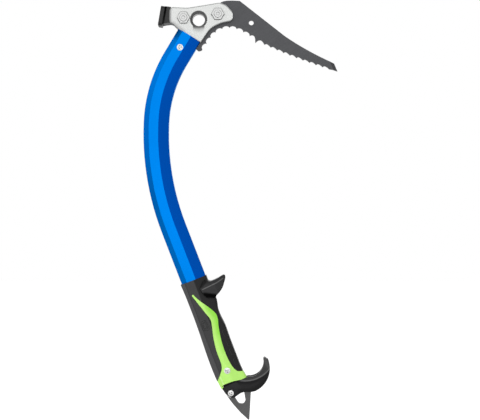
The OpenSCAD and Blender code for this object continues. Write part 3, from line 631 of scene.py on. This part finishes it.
# ---- The record's material slots, and two finishes for the screws ----
looks = {
    "blue_anodised": dict(
        colour=(0.0, 0.099, 0.355), metallic=1.0, roughness=0.36, variation=0.06, fine=2400, coarse=55,
        bump=0.05, shade=tube_shade, specular_tint=(0.1, 0.45, 0.8),
        paints=(front_facet_painted_shade, rear_facet_painted_shade, tube_edge_painted_shade)),
    "head_alloy": dict(
        colour=(0.575, 0.585, 0.575), metallic=0.3, roughness=0.55, variation=0.07, fine=2600, coarse=70,
        bump=0.18, paints=(rim_painted_shade, heel_painted_shade, rear_end_painted_shade, scoop_painted_shade, bore_painted_shade)),
    "web_alloy": dict(colour=grey(0.40), metallic=0.6, roughness=0.4, variation=0.12, fine=2000),
    "pick_steel": dict(
        colour=(0.052, 0.053, 0.057), metallic=0.3, roughness=0.46, variation=0.12, fine=1900, coarse=90,
        bump=0.10, shade=pick_marks, specular=0.25, paints=(upward_edge_painted_shade,),
        worn=((0.16, 0.16, 0.17), 0.0003, 0.35)),
    "black_steel": dict(
        colour=grey(0.010), roughness=0.42, variation=0.12, fine=1500, bump=0.12, specular=0.22,
        paints=(groove_painted_shade,), worn=(grey(0.09), 0.0005, 0.45), hush=hammer_groove),
    "bright_steel": dict(
        colour=(0.47, 0.475, 0.47), metallic=0.3, roughness=0.4, variation=0.10, fine=2200, coarse=200,
        bump=0.06, paints=(ring_painted_shade,)),
    "green_plastic": dict(
        colour=(0.50, 0.92, 0.175), roughness=0.42, variation=0.04, fine=2200, coarse=60, bump=0.06,
        specular=0.4, paints=(land_paint, collar_crease_painted_highlight, collar_under_painted_shade)),
    "grip_rubber": dict(
        colour=(0.0095, 0.0095, 0.0105), roughness=0.42, variation=0.10, fine=1800, coarse=45, bump=0.35,
        height=pebbled(1700), specular=0.33, paints=(pad_back_painted_light, pad_front_painted_shade, frame_painted_highlight),
        emboss=grip_emboss, hush=pad_hush),
    "trigger_plastic": dict(
        colour=(0.014, 0.014, 0.0145), roughness=0.5, variation=0.1, fine=1700, coarse=70, bump=0.25,
        height=pebbled(2300), specular=0.22, paints=(trigger_ridge_painted_highlight, trigger_hollow_painted_shade),
        hush=trigger_hollow),
    "insert_brass": dict(colour=(0.55, 0.40, 0.16), metallic=0.9, roughness=0.35),
    "plug_plastic": dict(colour=(0.05, 0.05, 0.055), roughness=0.6),
    "spike_steel": dict(
        colour=grey(0.075), metallic=0.3, roughness=0.45, variation=0.12, fine=1900, coarse=90, bump=0.10,
        shade=spike_marks, specular=0.3, worn=(grey(0.20), 0.0003, 0.35)),
    "rest_alloy": dict(
        colour=(0.006, 0.006, 0.0065), roughness=0.36, variation=0.10, fine=1600, coarse=60, bump=0.10,
        specular=0.14, paints=(rest_flange_painted_light, rest_ridge_painted_highlight, rest_tip_painted_light),
        worn=(grey(0.07), 0.0006, 0.35)),
    "bush_bronze": dict(colour=(0.42, 0.26, 0.09), metallic=0.9, roughness=0.45),
    "screw_white": dict(
        colour=(0.62, 0.62, 0.61), metallic=0.3, roughness=0.34, variation=0.08, fine=2200, bump=0.05),
    # Painted shade: the near-black finish of the discs that stand for the screws' drive holes
    "drive_hole_shade": dict(colour=grey(0.006), roughness=0.7, specular=0.1),
}
finishes = {name: finish_of(name, **look) for name, look in looks.items()}
slot_of = {s["node"]: s["material_slot"] for s in frame["record"]["subparts"]}
body_of = {n: b for b, members in frame["record"]["behaviour"]["bodies"].items() for n in members}
white_screws = ("tang_screw", "tang_barrel_nut", "handle_screw", "handle_barrel_nut", "pivot_bolt")
for name, ob in nodes.items():
    ob.data.materials.clear()
    ob.data.materials.append(finishes["screw_white" if name in white_screws else slot_of[name]])

# ---- Mesh building ----
SHARP, FLAT = radians(32), radians(0.6)
WELD_GAP, PLANE_GAP, FLAT_WEIGHT = 3e-6, 1e-7, 60


def handle_uh(co):
    """Where a point of the row frame lies in the handle's side view, in mm forward and up."""
    off = co - BUTT
    return off.dot(FORWARD) / MM, off.dot(UP) / MM


def handle_point(u, h):
    """The point of the axe's middle plane at a place in the handle's side view."""
    return BUTT + (FORWARD * u + UP * h) * MM


def step(low, high, x):
    """Smooth step from 0 at low to 1 at high."""
    x = min(max((x - low) / (high - low), 0.0), 1.0)
    return x * x * (3 - 2 * x)


def merged(node):
    """A welded copy of a CAD node's triangles, with its flat faces whole."""
    bm = bmesh.new()
    bm.from_mesh(nodes[node].data)
    bmesh.ops.remove_doubles(bm, verts=bm.verts, dist=WELD_GAP)
    bmesh.ops.dissolve_limit(bm, angle_limit=FLAT, verts=bm.verts, edges=bm.edges, delimit={"NORMAL"})
    return bm


def cut(bm, point, normal):
    """Edges all round the mesh where a plane passes, without taking anything away."""
    everything = bm.verts[:] + bm.edges[:] + bm.faces[:]
    bmesh.ops.bisect_plane(bm, geom=everything, plane_co=point, plane_no=normal, dist=PLANE_GAP)


def split_large_faces(bm):
    """Triangles in place of faces of more than four corners, so that the corners can be moved."""
    bmesh.ops.triangulate(bm, faces=[f for f in bm.faces if len(f.verts) > 4])


def finished_mesh(ob):
    """The object's mesh with its modifiers applied."""
    bpy.context.view_layer.update()
    return bpy.data.meshes.new_from_object(ob.evaluated_get(bpy.context.evaluated_depsgraph_get()))


def rounded_edges(bm, width, segments, weight=None):
    """The mesh with its sharp edges rounded; weight says how much of the width each edge gets."""
    mesh = bpy.data.meshes.new("blank")
    if weight:
        layer = bm.edges.layers.float.new("bevel_weight_edge")
        for e in bm.edges:
            if len(e.link_faces) == 2 and e.calc_face_angle(0.0) > SHARP:
                e[layer] = weight(e)
    bm.to_mesh(mesh)
    ob = in_scene("blank", mesh)
    mod = ob.modifiers.new("rounded_edges", "BEVEL")
    mod.width = width * MM
    mod.segments = segments
    mod.use_clamp_overlap = True
    mod.miter_outer = "MITER_ARC"
    mod.limit_method = "WEIGHT" if weight else "ANGLE"
    mod.angle_limit = SHARP
    done = finished_mesh(ob)
    bpy.data.objects.remove(ob)
    bm.clear()
    bm.from_mesh(done)
    return bm


dressed = {}


def dress(node, name, bm, smooth=35):
    """The finished piece that stands for a CAD node, smooth where its faces meet at less than an angle."""
    mesh = bpy.data.meshes.new(name)
    bm.to_mesh(mesh)
    bm.free()
    ob = in_scene(name, mesh)
    mesh.materials.append(finishes[slot_of[node]])
    mesh.shade_smooth()
    mesh.set_sharp_from_angle(angle=radians(smooth))
    mod = ob.modifiers.new("flat_faces", "WEIGHTED_NORMAL")
    mod.keep_sharp = True
    mod.weight = FLAT_WEIGHT
    ob.data = finished_mesh(ob)
    ob.modifiers.clear()
    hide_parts(node)
    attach(ob, body_of[node])
    dressed[node] = ob


# ---- Cheeks: rounded outlines, crisp bores, and a smooth scoop below the clip hole ----
CHEEK_HALF, CHEEK_INSIDE = 7, 2.5
BORES = ((0, 0, 11.5), (22.8, 6.2, 9), (-18.2, 1.8, 9))
HOLE_R, COUNTERSINK_R = 7.45, 10.4
SCOOP_HALF, SCOOP_TOP, SCOOP_END, SCOOP_DEPTH = 6.9, -7.4, -16.2, 3.9
SCOOP_RISE, SCOOP_COLUMNS, SCOOP_ROWS, SCOOP_ROW = 3, 10, 20, 0.65


def cheek_rounding(e):
    """Full rounding on the edges of the outer faces, little elsewhere and at the bores."""
    a, b = (v.co for v in e.verts)
    for x, z, r in BORES:
        if hypot(a.x / MM - x, a.z / MM - z) < r and hypot(b.x / MM - x, b.z / MM - z) < r:
            return 0.12
    outer = all(abs(abs(v.y) / MM - CHEEK_HALF) < 0.05 for v in (a, b))
    return 1.0 if outer else 0.15


def dress_cheek(node, name):
    bm = rounded_edges(merged(node), 1.3, 4, weight=cheek_rounding)
    for i in range(-SCOOP_COLUMNS, SCOOP_COLUMNS + 1):
        cut(bm, Vector((i * SCOOP_HALF / SCOOP_COLUMNS * MM, 0, 0)), Vector((1, 0, 0)))
    for i in range(SCOOP_ROWS):
        cut(bm, Vector((0, 0, (SCOOP_TOP + SCOOP_RISE - i * SCOOP_ROW) * MM)), Vector((0, 0, 1)))
    split_large_faces(bm)
    for v in bm.verts:
        x, y, z = (c / MM for c in v.co)
        by_scoop = abs(x) < SCOOP_HALF and SCOOP_END < z < SCOOP_TOP + SCOOP_RISE
        if by_scoop and hypot(x, z) > HOLE_R and abs(y) > CHEEK_INSIDE:
            fall = 1 - max(SCOOP_TOP - z, 0) / (SCOOP_TOP - SCOOP_END)
            size = CHEEK_HALF - SCOOP_DEPTH * fall ** 1.5 * (1 - (x / SCOOP_HALF) ** 2)
            if hypot(x, z) <= COUNTERSINK_R:
                size = min(abs(y), size)
            v.co.y = size * MM * (1 if y > 0 else -1)
    dress(node, name, bm)


dress_cheek("head_cheek_near", "near_cheek")
dress_cheek("head_cheek_far", "far_cheek")

# ---- Pieces that need no more than rounded edges; the tube, at width 0, is only shaded smooth ----
for node, name, width, segments in (
        ("shaft_tube", "bent_tube", 0, 1), ("hammer", "hammer_head", 0.7, 3),
        ("pick_nut", "pick_nut_chamfered", 0.7, 2), ("hammer_nut", "hammer_nut_chamfered", 0.7, 2),
        ("pick_bolt", "pick_bolt_chamfered", 0.5, 2), ("hammer_bolt", "hammer_bolt_chamfered", 0.5, 2),
        ("handle_core", "green_core", 0.4, 2), ("grip_rubber", "rubber_grip", 0.8, 3)):
    bm = merged(node)
    if width:
        rounded_edges(bm, width, segments)
    dress(node, name, bm)

# ---- Pick: the nose is ground to a chisel edge ----
NOSE_LOW, NOSE_HIGH = Vector((0.1660, 0, -0.0624)), Vector((0.1618, 0, -0.0529))
CHISEL_START, CHISEL_LENGTH, CHISEL_EDGE = 0.6, 3.0, 0.3


def dress_pick():
    bm = rounded_edges(merged("pick"), 0.7, 2)
    way = (NOSE_HIGH - NOSE_LOW).normalized()
    inward = Vector((-way.z, 0, way.x))
    for depth in (CHISEL_START, CHISEL_LENGTH):
        cut(bm, NOSE_LOW + inward * depth * MM, inward)
    for v in bm.verts:
        depth = (v.co - NOSE_LOW).dot(inward) / MM
        if depth < CHISEL_LENGTH:
            v.co.y *= CHISEL_EDGE + (1 - CHISEL_EDGE) * max(depth, 0) / CHISEL_LENGTH
    dress("pick", "pick_blade", bm, smooth=18)


dress_pick()

# ---- Spike: the front edge is ground to a narrow bevel ----
SPIKE_FRONT, SPIKE_KNEE, SPIKE_RAKE, SPIKE_ROOT = 15, -17.4, 0.452, -1


def spike_rounding(e):
    """The full bevel on the front edge, which runs back below the knee, and little elsewhere."""
    places = [handle_uh(v.co) for v in e.verts]
    front = all(u > SPIKE_FRONT - max(0, SPIKE_KNEE - h) * SPIKE_RAKE and h < SPIKE_ROOT for u, h in places)
    return 1.0 if front else 0.3


dress("spike", "steel_spike", rounded_edges(merged("spike"), 1.1, 1, weight=spike_rounding), smooth=20)

# ---- Trigger: a ridge across its side, a sloping top and an undercut below ----
RIDGE_LINE, UNDER_LINE = ((6.5, 116.9), (31.0, 119.1)), ((5.7, 113.9), (17.0, 105.7))
SLOPE_ABOVE, SLOPE_BELOW, TRIGGER_THINNEST = 0.055, 0.075, 0.55


def above_line(line, u, h):
    """Distance above the line through two places of the side view, in mm."""
    (start_u, start_h), (end_u, end_h) = line
    run_u, run_h = end_u - start_u, end_h - start_h
    return (run_u * (h - start_h) - run_h * (u - start_u)) / hypot(run_u, run_h)


def cut_along(bm, line, shifts):
    """Cuts along a line of the side view, shifted across it by some mm."""
    start, end = (handle_point(*place) for place in line)
    way = (end - start).normalized()
    across = Vector((-way.z, 0, way.x))
    for shift in shifts:
        cut(bm, start + across * shift * MM, across)


def dress_trigger():
    bm = rounded_edges(merged("trigger"), 0.8, 3)
    cut_along(bm, RIDGE_LINE, (-1.2, 0, 1.2, 3, 5))
    cut_along(bm, UNDER_LINE, (-6, -4, -2, -0.8, 0, 0.8))
    for u in range(6, 36, 3):
        cut(bm, handle_point(u, 0), FORWARD)
    split_large_faces(bm)
    for v in bm.verts:
        u, h = handle_uh(v.co)
        above, below = above_line(RIDGE_LINE, u, h), -above_line(UNDER_LINE, u, h)
        shrink = 1.0
        if above > 0:
            shrink = 1 - SLOPE_ABOVE * above * step(11, 18, u)
        elif below > 0:
            shrink = 1 - SLOPE_BELOW * below * step(8, 14, u)
        v.co.y *= max(shrink, TRIGGER_THINNEST)
    dress("trigger", "finger_trigger", bm, smooth=24)


dress_trigger()

# ---- Grip rest: a flange above a ridge, a shallow recess below it, a rounded back and a tapered tip ----
REST_HALF, REST_SLOT, REST_GRID = 7.5, 3.0, 2.0
REST_PIVOT, BACK_CENTRE, BACK_R, BACK_TOP = (-6.8, -10.7), (19.5, 9.9), 29.5, 8
FLANGE_SLOPE, FLANGE_LOSS, RECESS_LOSS, BACK_LOSS, TIP_LOSS = 0.42, 2.2, 1.3, 1.5, 2.0


def rest_loss(u, h):
    """How far the grip rest's side lies inside its full half width, in mm; none round the pivot."""
    out = hypot(u - RIDGE_CENTRE[0], h - RIDGE_CENTRE[1]) - RIDGE_R
    loss = min(-FLANGE_SLOPE * out, FLANGE_LOSS) if out < 0 else RECESS_LOSS * step(0, 3.0, out)
    if h < BACK_TOP:
        inside_back = BACK_R - hypot(u - BACK_CENTRE[0], h - BACK_CENTRE[1])
        loss += BACK_LOSS * (1 - step(0, 4.5, inside_back))
    loss *= step(7.5, 14, hypot(u - REST_PIVOT[0], h - REST_PIVOT[1]))
    return loss + TIP_LOSS * step(1, 14, h) * step(34, 40, u)


def dress_rest():
    bm = rounded_edges(merged("grip_rest"), 1.3, 3)
    for i in range(-2, 25):
        cut(bm, handle_point(i * REST_GRID, 0), FORWARD)
    for i in range(-10, 8):
        cut(bm, handle_point(0, i * REST_GRID), UP)
    split_large_faces(bm)
    for v in bm.verts:
        size = abs(v.co.y) / MM
        if size > REST_SLOT:
            room = REST_HALF - rest_loss(*handle_uh(v.co)) - REST_SLOT
            size = REST_SLOT + (size - REST_SLOT) * room / (REST_HALF - REST_SLOT)
            v.co.y = size * MM * (1 if v.co.y > 0 else -1)
    dress("grip_rest", "folding_rest", bm, smooth=28)


dress_rest()

# ---- Drive holes of the white screws, as discs of painted shade: a little below the head's top, as its dome falls away round it ----
HEAD_R, PIVOT_HEAD_R = 3.7, 3.5
HOLE_COUNT, HOLE_CORNERS, RING_SHARE, HOLE_SHARE, HOLE_SINK, RING_TURN = 3, 14, 0.36, 0.19, 0.08, 30
TANG_TILT = radians(31)
TANG_FORWARD = Vector((cos(TANG_TILT), 0, -sin(TANG_TILT)))
TANG_UP = Vector((sin(TANG_TILT), 0, cos(TANG_TILT)))


def build_drive_holes():
    """Geometry Nodes: a ring of small discs, painted shade that stands for the drive holes of a screw head.
    """
    t = bpy.data.node_groups.new("drive_holes", "GeometryNodeTree")
    for key, kind in (("Count", "Int"), ("Ring Radius", "Float"), ("Hole Radius", "Float"),
                      ("Material", "Material")):
        t.interface.new_socket(key, in_out="INPUT", socket_type="NodeSocket" + kind)
    t.interface.new_socket("Geometry", in_out="OUTPUT", socket_type="NodeSocketGeometry")
    i = t.nodes.new("NodeGroupInput").outputs
    o = t.nodes.new("NodeGroupOutput").inputs
    ring = put(t, "GeometryNodeMeshCircle", {"Vertices": i["Count"], "Radius": i["Ring Radius"]})
    disc = put(t, "GeometryNodeMeshCircle", {"Vertices": HOLE_CORNERS, "Radius": i["Hole Radius"]},
               fill_type="NGON")
    each = put(t, "GeometryNodeInstanceOnPoints", {"Points": ring.outputs[0], "Instance": disc.outputs[0]})
    real = put(t, "GeometryNodeRealizeInstances", {0: each.outputs[0]})
    last = put(t, "GeometryNodeSetMaterial", {"Geometry": real.outputs[0], "Material": i["Material"]})
    t.links.new(last.outputs[0], o["Geometry"])
    return t


drive_holes = build_drive_holes()


def side_middle(node, side):
    """The middle of a CAD node's near side, where side is -1, or of its far side, where it is 1."""
    lo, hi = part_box(node)
    return Vector(((lo.x + hi.x) / 2, hi.y if side > 0 else lo.y, (lo.z + hi.z) / 2))


def screw_dots(node, point, size, forward=FORWARD, up=UP):
    """The drive holes of a screw as discs of painted shade: on its near head at an image point, else in its
    far head's middle.
    """
    side = -1 if point else 1
    at = surface_under(point, nodes[node]) if point else side_middle(node, side)
    ob = in_scene(node + "_holes", bpy.data.meshes.new(node + "_holes"))
    mod = ob.modifiers.new("holes", "NODES")
    mod.node_group = drive_holes
    ids = {s.name: s.identifier for s in drive_holes.interface.items_tree if s.in_out == "INPUT"}
    mod[ids["Count"]] = HOLE_COUNT
    mod[ids["Ring Radius"]] = RING_SHARE * size * MM
    mod[ids["Hole Radius"]] = HOLE_SHARE * size * MM
    mod[ids["Material"]] = finishes["drive_hole_shade"]
    done = finished_mesh(ob)
    ob.modifiers.clear()
    ob.data = done
    out = Vector((0, side, 0))
    turn = Matrix((forward, up, out)).transposed().to_4x4()
    spin = Matrix.Rotation(radians(RING_TURN), 4, "Z")
    done.transform(Matrix.Translation(at - out * HOLE_SINK * MM) @ turn @ spin)
    if done.polygons and done.polygons[0].normal.y * side < 0:
        done.flip_normals()
    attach(ob, body_of[node])


screw_dots("tang_screw", "tang_screw", HEAD_R, TANG_FORWARD, TANG_UP)
screw_dots("tang_barrel_nut", None, HEAD_R, TANG_FORWARD, TANG_UP)
screw_dots("handle_screw", "handle_screw", HEAD_R)
screw_dots("handle_barrel_nut", None, HEAD_R)
screw_dots("pivot_bolt", "pivot_screw", PIVOT_HEAD_R)

# ---- Stage and light ----
FLOOR_Z, FLOOR_HALF = -0.80, 6.0
AXE_MIDDLE = Vector((0.05, 0, -0.22))
floor_mesh = bpy.data.meshes.new("floor")
floor_corners = [(FLOOR_HALF * x, FLOOR_HALF * y, FLOOR_Z) for x, y in ((-1, -1), (1, -1), (1, 1), (-1, 1))]
floor_mesh.from_pydata(floor_corners, [], [(0, 1, 2, 3)])
floor = in_scene("floor", floor_mesh)


def background_rays(t):
    """1 for the rays that should see the white background."""
    path = put(t, "ShaderNodeLightPath").outputs
    return most(t, path["Is Camera Ray"], most(t, path["Is Glossy Ray"], path["Is Transmission Ray"]))


def white_paper():
    """Matt paper that takes the axe's shadow, and glows for the background's rays alone."""
    m = bpy.data.materials.new("white_paper")
    m.use_nodes = True
    t = m.node_tree
    t.nodes.clear()
    from_axe = vec(t, "LENGTH", vec(t, "MULTIPLY", place_in(t), (1, 1, 0)))
    level = times(t, background_rays(t), ramp(t, from_axe, 0.3, 1.2, 0.66, 0.82))
    matt = put(t, "ShaderNodeBsdfDiffuse", {"Color": (*grey(0.5), 1)})
    glow = put(t, "ShaderNodeEmission", {"Color": (*grey(1), 1), "Strength": level})
    both = put(t, "ShaderNodeAddShader", {0: matt.outputs[0], 1: glow.outputs[0]})
    put(t, "ShaderNodeOutputMaterial", {"Surface": both.outputs[0]})
    return m


def studio_world():
    """A world that looks white and lights the axe at less than half of that."""
    world = bpy.data.worlds.new("studio")
    world.use_nodes = True
    t = world.node_tree
    t.nodes.clear()
    level = put(t, "ShaderNodeMapRange", {0: background_rays(t), 1: 0.0, 2: 1.0, 3: 0.45, 4: 1.0}).outputs[0]
    sky = put(t, "ShaderNodeBackground", {"Color": (*grey(1), 1), "Strength": level})
    put(t, "ShaderNodeOutputWorld", {"Surface": sky.outputs[0]})
    return world


def softbox(name, radiance, size, place):
    """A square area lamp that looks at the axe; its power follows from its brightness and size."""
    data = bpy.data.lights.new(name, "AREA")
    data.shape = "SQUARE"
    data.size = size
    data.energy = radiance * pi * size * size
    ob = in_scene(name, data)
    ob.location = place
    ob.rotation_euler = (AXE_MIDDLE - Vector(place)).to_track_quat("-Z", "Y").to_euler()


floor_mesh.materials.append(white_paper())
bpy.context.scene.world = studio_world()
softbox("front_softbox", 2.15, 1.7, (0.10, -1.75, 0.12))
softbox("left_softbox", 1.6, 1.6, (-1.5, -0.35, 0.36))
softbox("back_softbox", 1.3, 1.3, (0.2, 1.9, 0.5))
bpy.context.scene.view_settings.view_transform = "Standard"


# ---- How far each named thing shows from its image point ----
def seen_vertices(node):
    """The image point at which each vertex of a piece shows."""
    return [pixel_of(v.co) for v in dressed[node].data.vertices]


def seen_furthest(node, right=0, down=0):
    """The image point of a piece's vertex that shows furthest along a way of the picture."""
    return max(seen_vertices(node), key=lambda q: right * q[0] + down * q[1])


def seen_nearest(name, node):
    """The image point of a piece's vertex that shows nearest to a named point."""
    return min(seen_vertices(node), key=lambda q: dist(q, POINTS[name]))


def seen_middle(node):
    """The image point of the middle of a node's near side."""
    return pixel_of(side_middle(node, -1))


def seen_gap(name, *carriers, reach=16.0, every=0.1):
    """Middle of the see-through gap round an image point: rays walk out to both sides and up and down."""
    tree = tree_of(*carriers)
    x, y = POINTS[name]

    def walk(dx, dy):
        gone = 0.0
        while gone < reach and tree.ray_cast(*pixel_ray(x + dx * gone, y + dy * gone))[0] is None:
            gone += every
        return gone

    return x + (walk(1, 0) - walk(-1, 0)) / 2, y + (walk(0, 1) - walk(0, -1)) / 2


shows = {
    "left": seen_furthest("shaft_tube", right=-1),
    "right": seen_furthest("pick", right=1),
    "top": seen_furthest("pick", down=-1),
    "bottom": seen_furthest("spike", down=1),
    "clip_hole": seen_gap("clip_hole", dressed["head_cheek_near"], dressed["head_cheek_far"],
                          nodes["head_web"], dressed["pick"]),
    "lanyard_hole": seen_gap("lanyard_hole", dressed["pick"]),
    "pick_tip": seen_furthest("pick", right=1),
    "big_tooth": seen_nearest("big_tooth", "pick"),
    "hammer_top": seen_furthest("hammer", right=-0.2, down=-1),
    "cheek_nose": seen_furthest("head_cheek_near", right=1),
    "pick_nut": seen_middle("pick_nut"),
    "hammer_nut": seen_middle("hammer_nut"),
    "tang_screw": seen_middle("tang_screw"),
    "trigger_tip": seen_furthest("trigger", right=1, down=-1),
    "handle_screw": seen_middle("handle_screw"),
    "pivot_screw": seen_middle("pivot_bolt"),
    "rest_tip": seen_furthest("grip_rest", down=-1),
    "spike_eye": seen_gap("spike_eye", dressed["spike"], dressed["grip_rest"]),
}
off = {name: {"point": POINTS[name], "shows": [round(c, 2) for c in at],
              "off": [round(at[0] - POINTS[name][0], 2), round(at[1] - POINTS[name][1], 2)]}
       for name, at in shows.items()}
